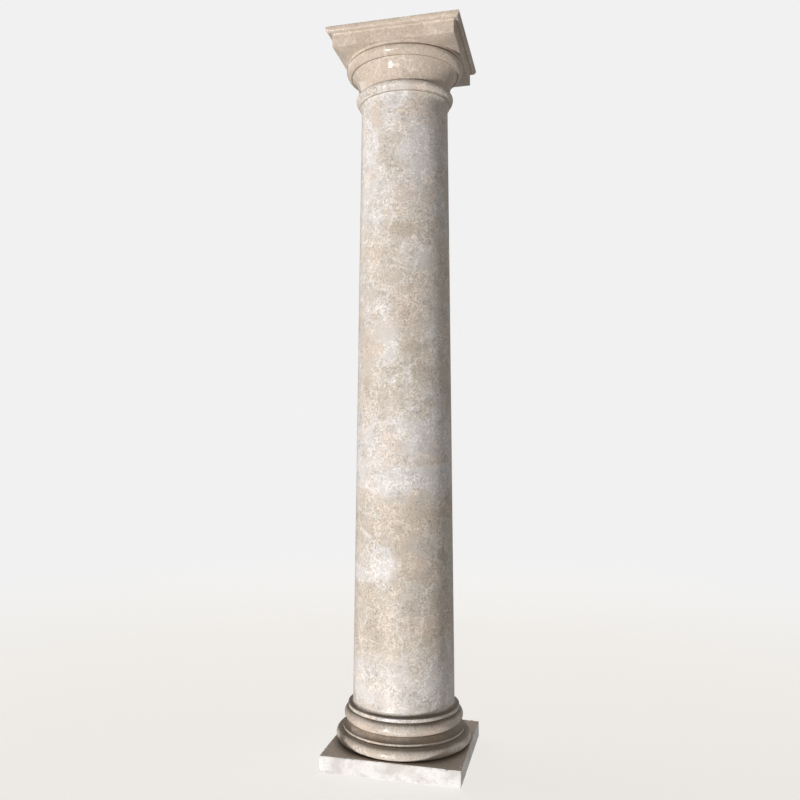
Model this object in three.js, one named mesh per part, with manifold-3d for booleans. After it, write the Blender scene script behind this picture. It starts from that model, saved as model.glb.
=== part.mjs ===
// A free-standing column in polished beige marble, about 3 m tall: a square plinth slab,
// a turned base with two tori, a smooth tapered shaft and a capital with a square abacus.
// Millimetres, +Z up. The origin is the centre of the underside, on the ground.

import * as THREE from 'three';
import { mergeVertices } from 'three/addons/utils/BufferGeometryUtils.js';
import Module from 'manifold-3d';

// Heights of the tops of the four stones above the ground.
const PLINTH_TOP = 65;
const BASE_TOP = 200.5;
const SHAFT_TOP = 2784;
const COLUMN_TOP = 3000;

// Plinth: a square slab with a narrow arris.
const PLINTH_HALF = 280;
const PLINTH_ARRIS = 2;

// Base: lower torus, fillet, splay and upper torus. A torus is given by the circle that its tube is
// centred on and by the tube's radius.
const LOWER_TORUS_R = 255;
const LOWER_TORUS_TUBE = 25;
const LOWER_FILLET = { r: 252, top: 126 };
const SPLAY = { footR: 246, headR: 222, top: 144 };
const UPPER_TORUS_R = 219.5;
const UPPER_TORUS_TUBE = 27;

// Shaft: a ring at the foot, a hollow curve into the shaft at each end, a fillet and a bead at the top.
const FOOT_RING = { r: 231, top: 214.5 };
const FOOT_CURVE = { r: 228, top: 231.5 };
const SHAFT_FOOT_R = 211.6;
const SHAFT_HEAD_R = 185.3;
const ENTASIS = 0.4;
const HEAD_CURVE = { bottom: 2705, top: 2737 };
const HEAD_FILLET_R = 195;
const BEAD_R = 190;
const BEAD_TUBE = 18.5;

// Capital: a hollow neck that flares upwards, a quarter-round echinus that overhangs it a little, a
// narrow groove and a fillet, all turned.
const NECK_R = 193.5;
const FLARE_R = 226;
const ECHINUS = { r: 218, z: 2900, tube: 33 };
const ECHINUS_FOOT_R = 231.5;
const SHOULDER = 8;
const GROOVE = { r: 240, top: 2913 };
const CAPITAL_FILLET_R = 247;

// Abacus, square: a flat face, a small hollow, a small quarter round and a band at the top.
const ABACUS_BOTTOM = 2923;
const FASCIA = { half: 251.7, top: 2967 };
const COVE = { half: 260, top: 2979 };
const OVOLO = { half: 272.5, bottom: 2977 };
const TOP_BAND = { half: 275.4, bottom: 2988 };

// Facets: sides of every turned stone and of a square one, and steps along their curves.
const SIDES = 56;
const SQUARE_SIDES = 4;
const TORUS_STEPS = 10;
const BEAD_STEPS = 8;
const CURVE_STEPS = 5;
const SHOULDER_STEPS = 2;
const SHAFT_STEPS = 6;

const wasm = await Module();
wasm.setup();

const QUARTER = Math.PI / 2;

// Points of a round moulding about the centre (r, z), from one angle to another; angle 0 faces outwards.
function arc({ r, z, tube }, from, to, steps) {
  return Array.from({ length: steps + 1 }, (_, i) => {
    const angle = from + ((to - from) * i) / steps;
    return new THREE.Vector2(r + tube * Math.cos(angle), z + tube * Math.sin(angle));
  });
}

// The angle from the outermost point of a round moulding to where its radius has shrunk to r.
function angleAt(moulding, r) {
  return Math.acos((r - moulding.r) / moulding.tube);
}

// A quarter of an ellipse, upright where it leaves (r, z) and level at (endR, endZ), without its start.
function quarterCurve(r, z, endR, endZ) {
  return Array.from({ length: CURVE_STEPS }, (_, i) => {
    const angle = (QUARTER * (i + 1)) / CURVE_STEPS;
    return new THREE.Vector2(endR + (r - endR) * Math.cos(angle), z + (endZ - z) * Math.sin(angle));
  });
}

function points(pairs) {
  return pairs.map(([r, z]) => new THREE.Vector2(r, z));
}

// A solid of revolution: the outline runs upwards and is closed along the axis.
function turned(outline, sides = SIDES) {
  const bottom = new THREE.Vector2(0, outline[0].y);
  const top = new THREE.Vector2(0, outline[outline.length - 1].y);
  const geometry = new THREE.LatheGeometry([bottom, ...outline, top], sides);
  return geometry.rotateX(QUARTER);
}

// A square moulded block: the outline turned in four steps, so that its corners are mitred.
function squared(outline) {
  const corners = outline.map((p) => new THREE.Vector2(p.x * Math.SQRT2, p.y));
  return turned(corners, SQUARE_SIDES).rotateZ(QUARTER / 2);
}

function solid(geometry) {
  geometry.deleteAttribute('normal');
  geometry.deleteAttribute('uv');
  const merged = mergeVertices(geometry);
  const vertProperties = new Float32Array(merged.attributes.position.array);
  const triVerts = new Uint32Array(merged.index.array);
  return new wasm.Manifold(new wasm.Mesh({ numProp: 3, vertProperties, triVerts }));
}

function joined(first, second) {
  const { vertProperties, triVerts } = solid(first).add(solid(second)).getMesh();
  const geometry = new THREE.BufferGeometry();
  geometry.setAttribute('position', new THREE.BufferAttribute(vertProperties, 3));
  geometry.setIndex(new THREE.BufferAttribute(triVerts, 1));
  geometry.computeVertexNormals();
  return geometry;
}

function plinthGeometry() {
  const inner = PLINTH_HALF - PLINTH_ARRIS;
  return squared(points([
    [inner, 0],
    [PLINTH_HALF, PLINTH_ARRIS],
    [PLINTH_HALF, PLINTH_TOP - PLINTH_ARRIS],
    [inner, PLINTH_TOP],
  ]));
}

function baseGeometry() {
  const lowerTorus = { r: LOWER_TORUS_R, z: PLINTH_TOP + LOWER_TORUS_TUBE, tube: LOWER_TORUS_TUBE };
  const upperTorus = { r: UPPER_TORUS_R, z: BASE_TOP - UPPER_TORUS_TUBE, tube: UPPER_TORUS_TUBE };
  return turned([
    ...arc(lowerTorus, -QUARTER, QUARTER, TORUS_STEPS),
    ...points([
      [LOWER_FILLET.r, PLINTH_TOP + 2 * LOWER_TORUS_TUBE],
      [LOWER_FILLET.r, LOWER_FILLET.top],
      [SPLAY.footR, LOWER_FILLET.top],
      [SPLAY.headR, SPLAY.top],
    ]),
    ...arc(upperTorus, -angleAt(upperTorus, SPLAY.headR), QUARTER, TORUS_STEPS),
  ]);
}

// The shaft narrows upwards, with a slight swelling that is largest half way up.
function shaftRadius(share) {
  const straight = SHAFT_FOOT_R + (SHAFT_HEAD_R - SHAFT_FOOT_R) * share;
  return straight + ENTASIS * (1 - (2 * share - 1) ** 2);
}

function shaftGeometry() {
  const length = HEAD_CURVE.bottom - FOOT_CURVE.top;
  const barrel = Array.from({ length: SHAFT_STEPS + 1 }, (_, i) => {
    const share = i / SHAFT_STEPS;
    return new THREE.Vector2(shaftRadius(share), FOOT_CURVE.top + length * share);
  });
  const bead = { r: BEAD_R, z: SHAFT_TOP - BEAD_TUBE, tube: BEAD_TUBE };
  return turned([
    ...points([
      [FOOT_RING.r, BASE_TOP],
      [FOOT_RING.r, FOOT_RING.top],
    ]),
    ...quarterCurve(SHAFT_FOOT_R, FOOT_CURVE.top, FOOT_CURVE.r, FOOT_RING.top).reverse(),
    ...barrel,
    ...quarterCurve(SHAFT_HEAD_R, HEAD_CURVE.bottom, HEAD_FILLET_R, HEAD_CURVE.top),
    ...arc(bead, -angleAt(bead, HEAD_FILLET_R), QUARTER, BEAD_STEPS),
  ]);
}

// The flare is an arc that leaves the neck upright and ends under the echinus.
function neckFlare(top) {
  const rise = top - SHAFT_TOP;
  const spread = FLARE_R - NECK_R;
  const radius = (rise * rise + spread * spread) / (2 * spread);
  const hollow = { r: NECK_R + radius, z: SHAFT_TOP, tube: radius };
  return arc(hollow, Math.PI, Math.PI - Math.asin(rise / radius), CURVE_STEPS);
}

function capitalGeometry() {
  const foot = angleAt(ECHINUS, ECHINUS_FOOT_R);
  const shoulder = { r: ECHINUS.r + ECHINUS.tube - SHOULDER, z: ECHINUS.z, tube: SHOULDER };
  const neck = turned([
    ...neckFlare(ECHINUS.z - ECHINUS.tube * Math.sin(foot)),
    ...arc(ECHINUS, -foot, 0, CURVE_STEPS),
    ...arc(shoulder, 0, QUARTER, SHOULDER_STEPS).slice(1),
    ...points([
      [GROOVE.r, ECHINUS.z + SHOULDER],
      [GROOVE.r, GROOVE.top],
      [CAPITAL_FILLET_R, GROOVE.top],
      [CAPITAL_FILLET_R, FASCIA.top],
    ]),
  ]);
  const abacus = squared([
    ...points([
      [FASCIA.half, ABACUS_BOTTOM],
      [FASCIA.half, FASCIA.top],
    ]),
    ...quarterCurve(FASCIA.half, FASCIA.top, COVE.half, COVE.top),
    ...quarterCurve(OVOLO.half, TOP_BAND.bottom, COVE.half, OVOLO.bottom).reverse(),
    ...points([
      [OVOLO.half, TOP_BAND.bottom],
      [TOP_BAND.half, TOP_BAND.bottom],
      [TOP_BAND.half, COLUMN_TOP],
    ]),
  ]);
  return joined(neck, abacus);
}

const sawnMarble = new THREE.MeshStandardMaterial({ color: 0xe4dcd2, roughness: 0.55, metalness: 0 });
const polishedMarble = new THREE.MeshStandardMaterial({ color: 0xcfbfae, roughness: 0.2, metalness: 0 });

function stone(name, geometry, material) {
  const mesh = new THREE.Mesh(geometry, material);
  mesh.name = name;
  return mesh;
}

const column = new THREE.Group();
column.add(
  stone('plinth', plinthGeometry(), sawnMarble),
  stone('base', baseGeometry(), polishedMarble),
  stone('shaft', shaftGeometry(), polishedMarble),
  stone('capital', capitalGeometry(), polishedMarble),
);

export default column;
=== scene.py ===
from math import acos, asin, cos, degrees, pi, radians, sin, sqrt

import bpy
from mathutils import Matrix, Vector


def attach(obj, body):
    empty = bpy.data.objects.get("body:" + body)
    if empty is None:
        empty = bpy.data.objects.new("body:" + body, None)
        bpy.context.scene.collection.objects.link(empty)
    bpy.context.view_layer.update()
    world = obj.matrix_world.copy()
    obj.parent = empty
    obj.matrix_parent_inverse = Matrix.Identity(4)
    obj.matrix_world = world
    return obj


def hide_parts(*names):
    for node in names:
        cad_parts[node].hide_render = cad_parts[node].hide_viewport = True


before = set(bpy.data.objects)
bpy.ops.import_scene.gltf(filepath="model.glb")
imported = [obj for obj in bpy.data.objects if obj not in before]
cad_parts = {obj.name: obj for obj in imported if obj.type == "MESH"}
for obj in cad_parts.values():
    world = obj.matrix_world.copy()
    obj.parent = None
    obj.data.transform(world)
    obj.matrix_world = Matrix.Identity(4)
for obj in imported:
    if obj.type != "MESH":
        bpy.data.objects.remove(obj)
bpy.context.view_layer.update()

# The plinth: a square slab of marble that lies on the floor under the whole column. Its top is
# polished, and its four edges are as the saw left them, paler and dull, with small chips.
PLINTH_HALF = 0.280
PLINTH_TOP = 0.065
PLINTH_CUTS = 159
PLINTH_ARRIS = 0.002
ARRIS_SEGMENTS = 2
SHARP = radians(25)
TOUCH = 0.00001
FACING_UP = 0.9
# Chips: how far in from an edge they reach, how deep and long they are, and the noise level where
# one starts and the level where it is deepest.
CHIP_REACH = 0.008
CHIP_DEPTH = 0.006
CHIP_LENGTH = 0.016
CHIP_START = 0.56
CHIP_FULL = 0.82
SLAB_COLOURS = {"body": (0.66, 0.56, 0.47), "pale": (0.72, 0.64, 0.56), "tan": (0.58, 0.475, 0.38),
                "blush": (0.66, 0.53, 0.44), "vein": (0.70, 0.65, 0.58), "pit": (0.25, 0.19, 0.15)}
SAWN_COLOURS = {"body": (0.80, 0.78, 0.76), "stain": (0.58, 0.54, 0.52), "blush": (0.70, 0.62, 0.60),
                "smudge": (0.58, 0.53, 0.51)}
# The dark brown of dust and painted shade, blended in on the faces that look up and in the hollow corners.
DUST_AND_SHADE = (0.18, 0.137, 0.09)
# Circles of painted shade around a hollow corner: radius, height and how far the painted shade reaches.
SLAB_SHADE_CREASES = [(0.262, PLINTH_TOP, 0.05)]


def square_ring(name, half, z, cuts):
    """Starts a stone as a square of edges at height z, and leaves it selected in edit mode."""
    bpy.ops.object.select_all(action="DESELECT")
    bpy.ops.mesh.primitive_circle_add(vertices=4, radius=half * sqrt(2), location=(0, 0, z),
                                      rotation=(0, 0, pi / 4))
    stone = bpy.context.object
    stone.name = name
    bpy.ops.object.transform_apply()
    bpy.ops.object.mode_set(mode="EDIT")
    bpy.ops.mesh.select_all(action="SELECT")
    bpy.ops.mesh.subdivide(number_cuts=cuts)
    return stone


def raise_ring(outline):
    """Extrudes the selected ring from point to point of an outline of radii and heights."""
    for (r, z), (next_r, next_z) in zip(outline, outline[1:]):
        bpy.ops.mesh.extrude_region_move(TRANSFORM_OT_translate={"value": (0, 0, next_z - z)})
        bpy.ops.transform.resize(value=(next_r / r, next_r / r, 1), center_override=(0, 0, next_z))


def close_ends():
    """Fills the open rings at the bottom and the top of a stone."""
    bpy.ops.mesh.select_all(action="DESELECT")
    bpy.ops.mesh.select_mode(type="EDGE")
    bpy.ops.mesh.select_non_manifold()
    bpy.ops.mesh.fill_holes(sides=0)


def finish_stone(arris):
    """Eases the sharp edges of the stone in edit mode, and shades it smooth between them."""
    bpy.ops.mesh.select_all(action="SELECT")
    bpy.ops.mesh.remove_doubles(threshold=TOUCH)
    bpy.ops.mesh.normals_make_consistent(inside=False)
    bpy.ops.mesh.select_all(action="DESELECT")
    bpy.ops.mesh.edges_select_sharp(sharpness=SHARP)
    bpy.ops.mesh.bevel(offset=arris, segments=ARRIS_SEGMENTS, clamp_overlap=True)
    bpy.ops.object.mode_set(mode="OBJECT")
    bpy.ops.object.shade_smooth_by_angle(angle=SHARP)


def chip_edges(stone):
    """Knocks small chips off the edges that were eased last, deepest where a soft noise is high."""
    bpy.ops.object.mode_set(mode="EDIT")
    bpy.ops.object.vertex_group_assign_new()
    bpy.ops.object.mode_set(mode="OBJECT")
    chips = bpy.data.textures.new("chips", "CLOUDS")
    chips.noise_scale = CHIP_LENGTH
    chips.noise_depth = 3
    chips.use_color_ramp = True
    whole, broken = chips.color_ramp.elements
    whole.color = (0, 0, 0, 1)
    whole.position = CHIP_START
    broken.color = (1, 1, 1, 1)
    broken.position = CHIP_FULL
    bpy.ops.object.modifier_add(type="DISPLACE")
    displace = stone.modifiers[-1]
    displace.texture = chips
    displace.vertex_group = stone.vertex_groups[-1].name
    displace.mid_level = 0
    displace.strength = -CHIP_DEPTH
    bpy.ops.object.modifier_apply(modifier=displace.name)


class Socket:
    """A socket of a material, with arithmetic that adds Math nodes to the material."""

    def __init__(self, tree, socket=None):
        self.tree = tree
        self.socket = socket

    def node(self, kind, settings=None, inputs=None, output=0):
        """Adds a node of a type, with its settings and then the values or links of its sockets."""
        node = self.tree.nodes.new(kind)
        for name, value in (settings or {}).items():
            setattr(node, name, value)
        for name, value in (inputs or {}).items():
            if isinstance(value, Socket):
                self.tree.links.new(value.socket, node.inputs[name])
            else:
                node.inputs[name].default_value = value
        return Socket(self.tree, node.outputs[output])

    def feed(self, target):
        """Links this value to a socket of a shader."""
        self.tree.links.new(self.socket, target)

    def math(self, operation, first, second=0.0):
        return self.node("ShaderNodeMath", {"operation": operation}, {0: first, 1: second})

    def __add__(self, other):
        return self.math("ADD", self, other)

    def __radd__(self, other):
        return self.math("ADD", other, self)

    def __sub__(self, other):
        return self.math("SUBTRACT", self, other)

    def __rsub__(self, other):
        return self.math("SUBTRACT", other, self)

    def __mul__(self, other):
        return self.math("MULTIPLY", self, other)

    def __rmul__(self, other):
        return self.math("MULTIPLY", other, self)

    def __abs__(self):
        return self.math("ABSOLUTE", self)

    def larger(self, other):
        return self.math("MAXIMUM", self, other)

    def vector(self, operation, second):
        return self.node("ShaderNodeVectorMath", {"operation": operation}, {0: self, 1: second})

    def length(self):
        return self.node("ShaderNodeVectorMath", {"operation": "LENGTH"}, {0: self}, "Value")

    def between(self, low, high):
        """0 below low, 1 above high, and a smooth rise from one to the other."""
        settings = {"interpolation_type": "SMOOTHSTEP", "clamp": True}
        return self.node("ShaderNodeMapRange", settings, {"Value": self, "From Min": low, "From Max": high})

    def noise(self, scale, detail, roughness=0.5, output="Fac"):
        inputs = {"Vector": self, "Scale": scale, "Detail": detail, "Roughness": roughness}
        return self.node("ShaderNodeTexNoise", None, inputs, output)

    def part(self, name):
        """One axis of this vector."""
        return self.node("ShaderNodeSeparateXYZ", None, {0: self}, name)

    def blend(self, first, second):
        """A colour that goes over from a first to a second one as this value goes from 0 to 1."""
        first, second = [(*c, 1) if isinstance(c, tuple) else c for c in (first, second)]
        return self.node("ShaderNodeMix", {"data_type": "RGBA"}, {0: self, 6: first, 7: second}, 2)

    def scaled(self, factor):
        """This colour, made brighter or darker by a factor."""
        return self.node("ShaderNodeVectorMath", {"operation": "SCALE"}, {0: self, "Scale": factor})


def new_finish(name):
    """A new material, its shader and the Object coordinates of the piece that wears it."""
    material = bpy.data.materials.new(name)
    material.use_nodes = True
    tree = material.node_tree
    place = Socket(tree).node("ShaderNodeTexCoord", output="Object")
    return material, tree.nodes["Principled BSDF"], place


def warped(place, scale, reach):
    """Object coordinates that are pushed about by a soft noise, so that edges become ragged."""
    push = place.noise(scale, 4, 0.6, "Color").vector("SUBTRACT", (0.5, 0.5, 0.5))
    return place.vector("ADD", push.vector("MULTIPLY", (reach, reach, reach)))


def curly_lines(place, scale, thin, wide):
    """Fine curly lines, where a noise passes through its middle value."""
    return 1 - abs(place.noise(scale, 2, 0.5) - 0.5).between(thin, wide)


def dusted_and_shaded(colour, place, top_dust_and_shade, shade_creases):
    """A colour with dust and painted shade on the faces that look up, and painted shade in the hollow
    corners.
    """
    normal = place.node("ShaderNodeNewGeometry", output="Normal")
    # Dust and painted shade: the faces that look up are blended towards dark brown.
    colour = (normal.part("Z").between(0.45, FACING_UP) * top_dust_and_shade).blend(colour, DUST_AND_SHADE)
    radius = place.vector("MULTIPLY", (1, 1, 0)).length()
    section = place.node("ShaderNodeCombineXYZ", None, {"X": radius, "Z": place.part("Z")})
    # Painted shade: darker near each hollow corner, up to 0.8 of the way to dark brown.
    for crease_r, crease_z, reach in shade_creases:
        shade_nearness = 1 - section.vector("SUBTRACT", (crease_r, 0, crease_z)).length().between(0.0, reach)
        colour = (shade_nearness * 0.8).blend(colour, DUST_AND_SHADE)
    return colour


def polished_marble(name, shift, colours, gloss, crumbs, top_dust_and_shade, shade_creases, clouds=None, honed=0.0):
    """Polished marble: broken pieces of many hues in a fine crumb, with threads, veins and dark pits."""
    material, shader, place = new_finish(name)
    block = place.vector("ADD", shift)
    other = place.vector("SUBTRACT", shift)

    # Broken pieces, each with a tone and a blush of its own, in a softer drift of tones.
    pieces = {"Vector": warped(warped(other, 6, 0.10), 30, 0.035), "Scale": 8.5}
    broken = place.node("ShaderNodeTexVoronoi", None, pieces, "Color")
    piece_tone = broken.node("ShaderNodeSeparateColor", None, {0: broken}, "Red")
    piece_blush = broken.node("ShaderNodeSeparateColor", None, {0: broken}, "Green")
    ragged = warped(warped(block, 5, 0.12), 24, 0.05)
    tone = (ragged.noise(4.5, 7, 0.66) - 0.5) * 1.5 + (piece_tone - 0.5) * 0.5 * crumbs
    if clouds:
        local = warped(warped(place, 7, 0.09), 34, 0.06)
        tone = tone * 0.8 + cloud_field(local, clouds["pale"]) - cloud_field(local, clouds["tan"])
    tone = tone + (block.noise(42, 3, 0.7) - 0.5) * 0.5
    pale = tone.between(0.03, 0.42)
    tan = (0.0 - tone).between(0.03, 0.42)
    blush = warped(other, 9, 0.10).noise(7, 5, 0.62).between(0.44, 0.60) * piece_blush.between(0.42, 0.62)

    # Fine crumbs and curly threads, lighter and darker than the stone around them.
    dense = (0.3 + other.noise(4, 3, 0.6).between(0.32, 0.54) * 0.7) * crumbs
    light_crumb = block.noise(150, 3, 0.75).between(0.48, 0.60) * dense
    dark_crumb = other.noise(135, 3, 0.75).between(0.49, 0.62) * dense * (1 - pale * 0.4)
    thread = curly_lines(warped(other, 22, 0.06), 48, 0.012, 0.05)
    thread = thread * block.noise(15, 3, 0.6).between(0.42, 0.54) * crumbs
    dark_thread = curly_lines(warped(block, 26, 0.05), 44, 0.02, 0.07)
    dark_thread = dark_thread * other.noise(13, 3, 0.6).between(0.46, 0.58) * crumbs

    # Veins along the seams between the pieces, and small pits.
    seam = place.node("ShaderNodeTexVoronoi", {"feature": "DISTANCE_TO_EDGE"}, pieces, "Distance")
    vein = (1 - seam.between(0.004, 0.028)) * block.noise(6, 3, 0.6).between(0.42, 0.54)
    pit_cells = {"Vector": warped(block, 60, 0.012), "Scale": 74.0}
    pit_size = place.node("ShaderNodeTexVoronoi", None, pit_cells, "Distance")
    pit = (1 - pit_size.between(0.12, 0.30)) * block.noise(21, 2).between(0.52, 0.66)

    colour = tan.blend(colours["body"], colours["tan"])
    colour = pale.blend(colour, colours["pale"])
    colour = (blush * 0.7).blend(colour, colours["blush"])
    colour = colour.scaled(0.97 + light_crumb * 0.15 + thread * 0.33 - dark_crumb * 0.25 - dark_thread * 0.2)
    colour = (vein * 0.7).blend(colour, colours["vein"])
    colour = (pit * 0.5).blend(colour, colours["pit"])
    # Dust and painted shade on the faces that look up, and painted shade in the hollow corners.
    dusted_and_shaded(colour, place, top_dust_and_shade, shade_creases).feed(shader.inputs["Base Color"])
    above_foot = place.part("Z").between(0.23, 0.26)
    (gloss + light_crumb * 0.08 + above_foot * honed).feed(shader.inputs["Roughness"])
    return material


def sawn_marble(name, colours):
    """Marble as the saw leaves it: nearly white, with dull grey and pink stains and fine saw lines."""
    material, shader, place = new_finish(name)
    ragged = warped(place, 14, 0.05)
    stain = ragged.noise(11, 4, 0.55).between(0.47, 0.64)
    smudge = warped(place, 30, 0.03).noise(26, 4, 0.65).between(0.5, 0.66)
    speck = place.noise(75, 4, 0.7).between(0.52, 0.68)
    blush = ragged.vector("ADD", (2.2, 5.1, 3.3)).noise(8, 3, 0.55).between(0.5, 0.72)
    lines = place.vector("MULTIPLY", (6, 6, 420)).noise(1, 3, 0.6) - 0.5
    grain = place.noise(140, 4, 0.65) - 0.5
    colour = (stain * 0.85).blend(colours["body"], colours["stain"])
    colour = (blush * 0.6).blend(colour, colours["blush"])
    colour = (smudge * 0.45).blend(colour, colours["smudge"])
    colour.scaled(1 + grain * 0.16 + lines * 0.08 - speck * 0.16).feed(shader.inputs["Base Color"])
    (0.55 + grain * 0.2).feed(shader.inputs["Roughness"])
    relief = {"Strength": 0.4, "Distance": 0.0012, "Height": lines * 0.5 + grain}
    place.node("ShaderNodeBump", None, relief).feed(shader.inputs["Normal"])
    return material


def wear(stone, node):
    """Makes a stone stand for its CAD node: hangs it under the root and hides the CAD part."""
    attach(stone, "root")
    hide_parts(node)


plinth_outline = [
    (PLINTH_HALF - 2 * CHIP_REACH, 0),
    (PLINTH_HALF - CHIP_REACH, 0),
    (PLINTH_HALF, 0),
    (PLINTH_HALF, CHIP_REACH),
    (PLINTH_HALF, PLINTH_TOP - CHIP_REACH),
    (PLINTH_HALF, PLINTH_TOP),
    (PLINTH_HALF - CHIP_REACH, PLINTH_TOP),
    (PLINTH_HALF - 2 * CHIP_REACH, PLINTH_TOP),
]
plinth = square_ring("plinth_slab", *plinth_outline[0], PLINTH_CUTS)
raise_ring(plinth_outline)
close_ends()
finish_stone(PLINTH_ARRIS)
chip_edges(plinth)
plinth.data.materials.append(sawn_marble("sawn_marble_edges", SAWN_COLOURS))
plinth.data.materials.append(polished_marble(
    "polished_slab", shift=(1.7, 4.4, 9.1), colours=SLAB_COLOURS, gloss=0.2, crumbs=0.4, top_dust_and_shade=0.0,
    shade_creases=SLAB_SHADE_CREASES))
for face in plinth.data.polygons:
    if face.normal.z > FACING_UP:
        face.material_index = 1
wear(plinth, "plinth")

# The base: one block of the same marble turned on a lathe and polished. A thick torus lies on the
# plinth, with a fillet and a splayed face above it, and a smaller torus carries the shaft.
SIDES = 160
TORUS_STEPS = 28
ARRIS = 0.0008
# A round moulding is given by the radius and height of its centre and by the radius of its round.
LOWER_TORUS = (0.255, 0.090, 0.025)
LOWER_FILLET = (0.252, 0.126)
SPLAY_FOOT_R = 0.246
SPLAY_HEAD = (0.222, 0.144)
UPPER_TORUS = (0.2195, 0.1735, 0.027)
BASE_COLOURS = {"body": (0.59, 0.52, 0.45), "pale": (0.68, 0.62, 0.57), "tan": (0.50, 0.415, 0.335),
                "blush": (0.64, 0.51, 0.43), "vein": (0.79, 0.74, 0.68), "pit": (0.25, 0.18, 0.14)}
# Circles of painted shade in the hollow corners of the base: radius, height and how far the painted shade
# reaches.
BASE_SHADE_CREASES = [(0.262, PLINTH_TOP, 0.014), (0.252, 0.115, 0.005), (0.222, 0.145, 0.006)]


def turned_ring(name, radius, z):
    """Starts a stone as a round ring of edges at height z, and leaves it selected in edit mode."""
    bpy.ops.object.select_all(action="DESELECT")
    bpy.ops.mesh.primitive_circle_add(vertices=SIDES, radius=radius, location=(0, 0, z))
    stone = bpy.context.object
    stone.name = name
    bpy.ops.object.transform_apply()
    bpy.ops.object.mode_set(mode="EDIT")
    bpy.ops.mesh.select_all(action="SELECT")
    return stone


def arc(moulding, start, end, steps):
    """Points of a round moulding, between two angles in degrees; 0 faces outwards and 90 upwards."""
    r, z, tube = moulding
    angles = [radians(start + (end - start) * i / steps) for i in range(steps + 1)]
    return [(r + tube * cos(a), z + tube * sin(a)) for a in angles]


def angle_at(moulding, r):
    """The angle, in degrees, where a round moulding has drawn in to a radius."""
    return degrees(acos((r - moulding[0]) / moulding[2]))


base_outline = [
    *arc(LOWER_TORUS, -90, 90, TORUS_STEPS),
    (LOWER_FILLET[0], LOWER_TORUS[1] + LOWER_TORUS[2]),
    LOWER_FILLET,
    (SPLAY_FOOT_R, LOWER_FILLET[1]),
    SPLAY_HEAD,
    *arc(UPPER_TORUS, -angle_at(UPPER_TORUS, SPLAY_HEAD[0]), 90, TORUS_STEPS),
]
base = turned_ring("turned_base", *base_outline[0])
raise_ring(base_outline)
close_ends()
finish_stone(ARRIS)
base.data.materials.append(polished_marble(
    "polished_base", shift=(3.1, 0.4, 2.2), colours=BASE_COLOURS, gloss=0.09, crumbs=0.65, top_dust_and_shade=0.65,
    shade_creases=BASE_SHADE_CREASES))
wear(base, "base")

# The shaft: one long block, turned and polished, that stands on the base. It narrows upwards with a
# slight swelling, and ends in a hollow curve at both ends, with a bead at the head.
BASE_TOP = 0.2005
FOOT_RING = (0.231, 0.2145)
FOOT_CURVE = (0.228, 0.2315)
SHAFT_FOOT_R = 0.2116
SHAFT_HEAD_R = 0.1853
ENTASIS = 0.0004
HEAD_CURVE = (2.705, 2.737)
HEAD_FILLET_R = 0.195
BEAD = (0.190, 2.7655, 0.0185)
SHAFT_STEPS = 48
BEAD_STEPS = 24
CURVE_STEPS = 10
SHAFT_COLOURS = {"body": (0.63, 0.57, 0.51), "pale": (0.695, 0.655, 0.635), "tan": (0.57, 0.493, 0.417),
                 "blush": (0.655, 0.556, 0.477), "vein": (0.80, 0.77, 0.745), "pit": (0.27, 0.20, 0.155)}
# Circles of painted shade in the hollow corners of the shaft: radius, height and how far the painted shade
# reaches.
SHAFT_SHADE_CREASES = [(0.231, BASE_TOP, 0.003), (0.213, 0.2155, 0.019), (HEAD_FILLET_R, HEAD_CURVE[1], 0.004)]
# Clouds in the stone: turn about the axis from the front towards the right, height, half width and
# half height, and how strong it is.
CLOUD_R = 0.2
PALE_CLOUDS = [
    (-34, 2.71, 0.032, 0.048, 0.4), (-23, 2.20, 0.048, 0.020, 0.4), (22, 2.06, 0.072, 0.064, 0.4),
    (-15, 1.85, 0.072, 0.040, 0.4), (-10, 1.69, 0.064, 0.088, 0.4), (-5, 1.55, 0.044, 0.032, 0.4),
    (38, 1.51, 0.044, 0.028, 0.4), (2, 1.22, 0.120, 0.080, 0.4), (-10, 1.11, 0.080, 0.040, 0.4),
    (-13, 0.81, 0.050, 0.085, 0.75), (-46, 0.75, 0.026, 0.040, 0.4), (-29, 0.91, 0.024, 0.020, 0.4),
    (-16, 0.38, 0.064, 0.072, 0.4), (-1, 0.28, 0.088, 0.048, 0.25), (32, 2.61, 0.032, 0.088, 0.4),
    (-25, 1.28, 0.070, 0.050, 0.4), (-42, 2.02, 0.060, 0.030, 0.4), (-30, 2.23, 0.050, 0.030, 0.4),
    (0, 2.50, 0.42, 0.26, 0.25), (0, 1.22, 0.42, 0.19, 0.5), (0, 0.32, 0.42, 0.13, 0.38),
]
TAN_CLOUDS = [
    (4, 2.42, 0.048, 0.032, 0.25), (7, 2.17, 0.088, 0.028, 0.36), (-45, 2.17, 0.024, 0.020, 0.36),
    (12, 1.92, 0.044, 0.024, 0.36), (25, 1.70, 0.072, 0.080, 0.36), (-37, 1.53, 0.036, 0.064, 0.36),
    (39, 1.44, 0.048, 0.036, 0.36), (15, 1.31, 0.020, 0.036, 0.36), (13, 0.97, 0.150, 0.080, 0.36),
    (40, 0.89, 0.036, 0.028, 0.36), (24, 0.81, 0.072, 0.080, 0.36), (-9, 0.62, 0.080, 0.088, 0.36),
    (16, 0.52, 0.056, 0.064, 0.36), (15, 0.31, 0.016, 0.036, 0.36),
    (20, 0.93, 0.42, 0.16, 0.3), (20, 0.60, 0.42, 0.14, 0.36),
]


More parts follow.
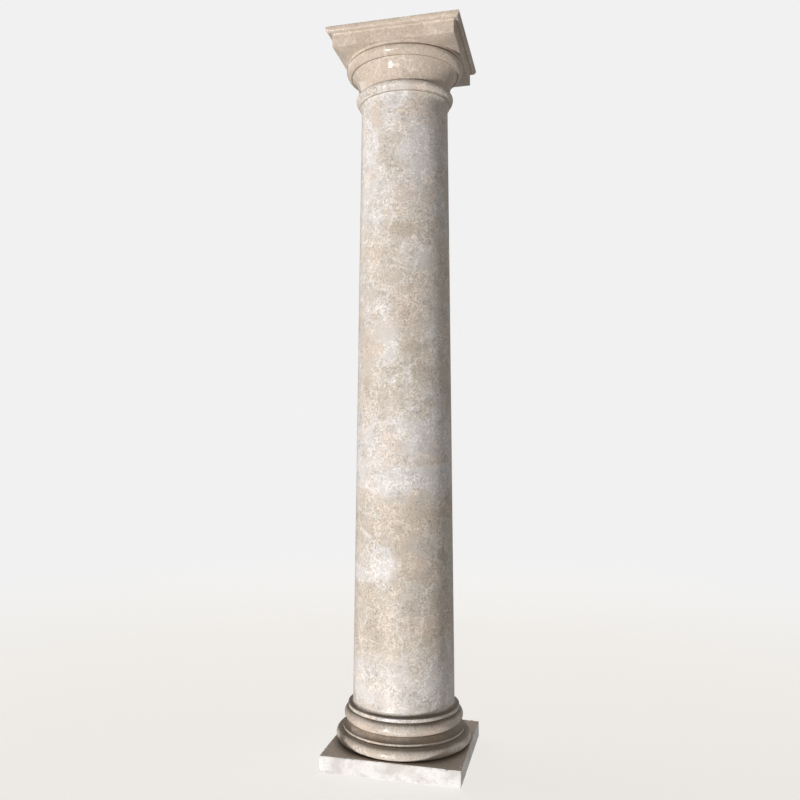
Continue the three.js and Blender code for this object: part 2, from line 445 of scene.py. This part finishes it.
def cloud_field(place, clouds):
    """The largest of some soft clouds at a point: a cloud's strength at its middle, 0 past its rim."""
    field = None
    for turn, height, half_width, half_height, strength in clouds:
        middle = (CLOUD_R * sin(radians(turn)), -CLOUD_R * cos(radians(turn)), height)
        stretch = (1 / half_width, 1 / half_width, 1 / half_height)
        reach = place.vector("SUBTRACT", middle).vector("MULTIPLY", stretch).length()
        cloud = (1 - reach.between(0.45, 1.35)) * strength
        field = cloud if field is None else field.larger(cloud)
    return field


def quarter_curve(start, end):
    """A quarter of an ellipse that leaves its start upright and is level at its end."""
    (r, z), (end_r, end_z) = start, end
    angles = [pi / 2 * i / CURVE_STEPS for i in range(CURVE_STEPS + 1)]
    return [(end_r + (r - end_r) * cos(a), z + (end_z - z) * sin(a)) for a in angles]


def barrel():
    """The shaft between its two end curves, from the foot upwards."""
    foot, head = FOOT_CURVE[1], HEAD_CURVE[0]
    outline = []
    for i in range(SHAFT_STEPS + 1):
        share = i / SHAFT_STEPS
        r = SHAFT_FOOT_R + (SHAFT_HEAD_R - SHAFT_FOOT_R) * share + ENTASIS * (1 - (2 * share - 1) ** 2)
        outline.append((r, foot + (head - foot) * share))
    return outline


shaft_outline = [
    (FOOT_RING[0], BASE_TOP),
    FOOT_RING,
    *reversed(quarter_curve((SHAFT_FOOT_R, FOOT_CURVE[1]), (FOOT_CURVE[0], FOOT_RING[1]))),
    *barrel()[1:],
    *quarter_curve((SHAFT_HEAD_R, HEAD_CURVE[0]), (HEAD_FILLET_R, HEAD_CURVE[1]))[1:],
    *arc(BEAD, -angle_at(BEAD, HEAD_FILLET_R), 90, BEAD_STEPS),
]
shaft = turned_ring("tapered_shaft", *shaft_outline[0])
raise_ring(shaft_outline)
close_ends()
finish_stone(ARRIS)
shaft.data.materials.append(polished_marble(
    "polished_shaft", shift=(5.5, 2.6, 0.7), colours=SHAFT_COLOURS, gloss=0.12, crumbs=1.0, top_dust_and_shade=0.6,
    shade_creases=SHAFT_SHADE_CREASES, clouds={"pale": PALE_CLOUDS, "tan": TAN_CLOUDS}, honed=0.24))
wear(shaft, "shaft")

# The capital: one block that rests on the shaft. Its neck and its round echinus are turned, and its
# square abacus, with a small crown moulding along the top, is cut and polished by hand.
SHAFT_TOP = 2.784
NECK_R = 0.1935
FLARE_R = 0.226
ECHINUS = (0.218, 2.900, 0.033)
ECHINUS_FOOT_R = 0.2315
SHOULDER = 0.008
GROOVE = (0.240, 2.913)
CAPITAL_FILLET_R = 0.247
ABACUS_BOTTOM = 2.923
FASCIA = (0.2517, 2.967)
COVE = (0.260, 2.979)
OVOLO = (0.2725, 2.977)
TOP_BAND = (0.2754, 2.988)
COLUMN_TOP = 3.0
FLARE_STEPS = 14
ECHINUS_STEPS = 16
SHOULDER_STEPS = 8
CAPITAL_COLOURS = {"body": (0.61, 0.512, 0.427), "pale": (0.67, 0.595, 0.53), "tan": (0.55, 0.45, 0.355),
                   "blush": (0.61, 0.50, 0.415), "vein": (0.78, 0.72, 0.66), "pit": (0.27, 0.19, 0.14)}
# Circles of painted shade in the hollow corners of the capital: radius, height and how far the painted shade
# reaches.
CAPITAL_SHADE_CREASES = [(NECK_R, SHAFT_TOP, 0.004), (0.229, 2.870, 0.004), (GROOVE[0], 2.9105, 0.006)]


def neck_flare(top):
    """The hollow neck: an arc that leaves the shaft upright and spreads out under the echinus."""
    rise = top - SHAFT_TOP
    spread = FLARE_R - NECK_R
    radius = (rise * rise + spread * spread) / (2 * spread)
    return arc((NECK_R + radius, SHAFT_TOP, radius), 180, 180 - degrees(asin(rise / radius)), FLARE_STEPS)


echinus_foot = angle_at(ECHINUS, ECHINUS_FOOT_R)
shoulder = (ECHINUS[0] + ECHINUS[2] - SHOULDER, ECHINUS[1], SHOULDER)
neck_outline = [
    *neck_flare(ECHINUS[1] - ECHINUS[2] * sin(radians(echinus_foot))),
    *arc(ECHINUS, -echinus_foot, 0, ECHINUS_STEPS),
    *arc(shoulder, 0, 90, SHOULDER_STEPS)[1:],
    (GROOVE[0], ECHINUS[1] + SHOULDER),
    GROOVE,
    (CAPITAL_FILLET_R, GROOVE[1]),
    (CAPITAL_FILLET_R, ABACUS_BOTTOM),
]
abacus_outline = [
    (FASCIA[0], ABACUS_BOTTOM),
    *quarter_curve(FASCIA, COVE),
    *reversed(quarter_curve((OVOLO[0], TOP_BAND[1]), (COVE[0], OVOLO[1]))),
    TOP_BAND,
    (TOP_BAND[0], COLUMN_TOP),
]
neck = turned_ring("capital_neck", *neck_outline[0])
raise_ring(neck_outline)
bpy.ops.object.mode_set(mode="OBJECT")
capital = square_ring("moulded_capital", *abacus_outline[0], SIDES // 4 - 1)
raise_ring(abacus_outline)
bpy.ops.object.mode_set(mode="OBJECT")
neck.select_set(True)
bpy.ops.object.join()
bpy.ops.object.mode_set(mode="EDIT")
bpy.ops.mesh.select_all(action="DESELECT")
bpy.ops.object.mode_set(mode="OBJECT")
for edge in capital.data.edges:
    ends = [capital.data.vertices[v].co for v in edge.vertices]
    edge.select = all(abs(end.z - ABACUS_BOTTOM) < TOUCH for end in ends)
bpy.ops.object.mode_set(mode="EDIT")
bpy.ops.mesh.select_mode(type="EDGE")
bpy.ops.mesh.bridge_edge_loops()
close_ends()
finish_stone(ARRIS)
capital.data.materials.append(polished_marble(
    "polished_capital", shift=(8.2, 6.3, 1.1), colours=CAPITAL_COLOURS, gloss=0.10, crumbs=0.6, top_dust_and_shade=0.3,
    shade_creases=CAPITAL_SHADE_CREASES))
wear(capital, "capital")

# The studio: a plain pale floor that glows a little, like a light table, and runs out into a plain
# white room. The floor lets light through from below.
FLOOR_R = 30
FLOOR_SIDES = 96
FLOOR_COLOUR = (0.30, 0.30, 0.295, 1)
FLOOR_ROUGHNESS = 0.7
FLOOR_GLOW = (1, 0.97, 0.93, 1)
FLOOR_GLOW_STRENGTH = 0.72
NEAR_FLOOR_R = 1.6
FAR_FLOOR_R = 6.0
WHITE = (1, 1, 1, 1)
ROOM_WHITE = 0.88
ROOM_TINT = (1, 0.975, 0.945, 1)
ROOM_GLOW = 0.15
ROOM_GLOW_BELOW = 0.05
bpy.ops.object.select_all(action="DESELECT")
bpy.ops.mesh.primitive_circle_add(vertices=FLOOR_SIDES, radius=FLOOR_R, fill_type="NGON", location=(0, 0, 0))
floor = bpy.context.object
floor.name = "studio_floor"
floor_finish, floor_shader, floor_place = new_finish("pale_floor")
floor_shader.inputs["Base Color"].default_value = FLOOR_COLOUR
floor_shader.inputs["Roughness"].default_value = FLOOR_ROUGHNESS
floor_shader.inputs["Emission Color"].default_value = FLOOR_GLOW
floor_shader.inputs["Emission Strength"].default_value = FLOOR_GLOW_STRENGTH
near_floor = Socket(floor_place.tree, floor_shader.outputs[0])
far_floor = floor_place.node("ShaderNodeEmission", None, {"Color": WHITE, "Strength": ROOM_WHITE})
farness = floor_place.length().between(NEAR_FLOOR_R, FAR_FLOOR_R)
whole_floor = floor_place.node("ShaderNodeMixShader", None, {0: farness, 1: near_floor, 2: far_floor})
whole_floor.feed(floor_place.tree.nodes["Material Output"].inputs["Surface"])
floor.data.materials.append(floor_finish)
floor.visible_diffuse = False
floor.visible_glossy = False
floor.visible_shadow = False

room = bpy.data.worlds.new("studio_room")
room.use_nodes = True
bpy.context.scene.world = room
air = Socket(room.node_tree)
seen = air.node("ShaderNodeLightPath", output="Is Camera Ray")
downward = 0.0 - air.node("ShaderNodeTexCoord", output="Generated").part("Z")
glow = ROOM_GLOW + downward.between(-0.15, 0.15) * ROOM_GLOW_BELOW
dim = air.node("ShaderNodeBackground", None, {"Color": ROOM_TINT, "Strength": glow})
white = air.node("ShaderNodeBackground", None, {"Color": WHITE, "Strength": ROOM_WHITE})
backdrop = air.node("ShaderNodeMixShader", None, {0: seen, 1: dim, 2: white})
backdrop.feed(room.node_tree.nodes["World Output"].inputs["Surface"])

# The lights: a key from the lower left, as if sun came off a shiny floor, with softer glints beside it
# that only the polish shows, and large soft boxes on the left, on the right and behind.
DAYLIGHT = (1, 0.985, 0.965)
WARM_LIGHT = (1, 0.95, 0.9)
FAR_BELOW = 20.0
AIM_HEIGHT = 1.5


def soft_light(name, turn, distance, height, tilt, size, brightness, colour=DAYLIGHT):
    """A soft box that faces the column, at a turn in degrees from the front towards the right.

    A tilt of 90 degrees is level, a smaller one faces down and a larger one faces up."""
    place = (distance * sin(radians(turn)), -distance * cos(radians(turn)), height)
    bpy.ops.object.select_all(action="DESELECT")
    bpy.ops.object.light_add(type="AREA", location=place)
    light = bpy.context.object
    light.name = name
    light.data.shape = "RECTANGLE"
    light.data.size, light.data.size_y = size
    light.data.energy = brightness * pi * size[0] * size[1]
    light.data.color = colour
    light.visible_camera = False
    light.rotation_euler = (radians(tilt), 0, radians(turn))
    return light


def light_from_below(name, turn, rise, size, brightness):
    """A soft box far off and below the floor, whose light rises to the column at an angle in degrees."""
    distance = FAR_BELOW * cos(radians(rise))
    height = AIM_HEIGHT - FAR_BELOW * sin(radians(rise))
    return soft_light(name, turn, distance, height, 90 + rise, size, brightness)


key_light = light_from_below("key_light", turn=-29, rise=24, size=(2.2, 2.6), brightness=256)
key_light.visible_glossy = False
for glint_light in (
    light_from_below("glint_light", turn=-22, rise=16, size=(2.4, 2.8), brightness=13),
    light_from_below("glint_light", turn=-22, rise=27, size=(2.4, 4.4), brightness=20),
    light_from_below("glint_light", turn=-12, rise=20, size=(7.0, 3.5), brightness=5),
):
    glint_light.visible_diffuse = False
soft_light("left_light", turn=-105, distance=7.0, height=5.5, tilt=56, size=(6, 4), brightness=1.3)
soft_light("right_light", turn=85, distance=7.0, height=2.0, tilt=90, size=(6, 4), brightness=0.75)
back_light = soft_light("back_light", turn=185, distance=8.0, height=3.4, tilt=76, size=(10, 1.2),
                        brightness=7.5)
back_light.visible_glossy = False
soft_light("low_light", turn=66, distance=1.0, height=-0.25, tilt=105, size=(0.9, 0.3), brightness=1.0)
soft_light("rim_light", turn=118, distance=5.0, height=1.9, tilt=90, size=(1.2, 3.8), brightness=0.45,
           colour=WARM_LIGHT)

# The camera: where the photographer stood, a little to the right of the front and below half of the
# column's height, looking slightly upwards.
CAMERA_DISTANCE = 1.1473 * COLUMN_TOP
CAMERA_HEIGHT = 0.4366 * COLUMN_TOP
CAMERA_TURN = radians(11.95)
CAMERA_YAW = radians(2.91)
CAMERA_PITCH = radians(2.74)
CAMERA_ROLL = radians(0.23)
SENSOR_WIDTH = 36
FOCAL_PIXELS = 807.49
CENTRE_X_PIXELS = 363.19
PICTURE_PIXELS = 800
heading = CAMERA_TURN + CAMERA_YAW
forward = Vector((-sin(heading) * cos(CAMERA_PITCH), cos(heading) * cos(CAMERA_PITCH), sin(CAMERA_PITCH)))
level = Vector((cos(heading), sin(heading), 0))
upward = level.cross(forward)
right = level * cos(CAMERA_ROLL) + upward * sin(CAMERA_ROLL)
up = upward * cos(CAMERA_ROLL) - level * sin(CAMERA_ROLL)
stand = Matrix((right, up, -forward)).transposed().to_4x4()
stand.translation = (CAMERA_DISTANCE * sin(CAMERA_TURN), -CAMERA_DISTANCE * cos(CAMERA_TURN), CAMERA_HEIGHT)
bpy.ops.object.camera_add()
camera = bpy.context.object
camera.matrix_world = stand
camera.data.sensor_width = SENSOR_WIDTH
camera.data.lens = FOCAL_PIXELS / PICTURE_PIXELS * SENSOR_WIDTH
camera.data.shift_x = (PICTURE_PIXELS / 2 - CENTRE_X_PIXELS) / PICTURE_PIXELS
bpy.context.scene.camera = camera
bpy.context.scene.view_settings.view_transform = "Standard"
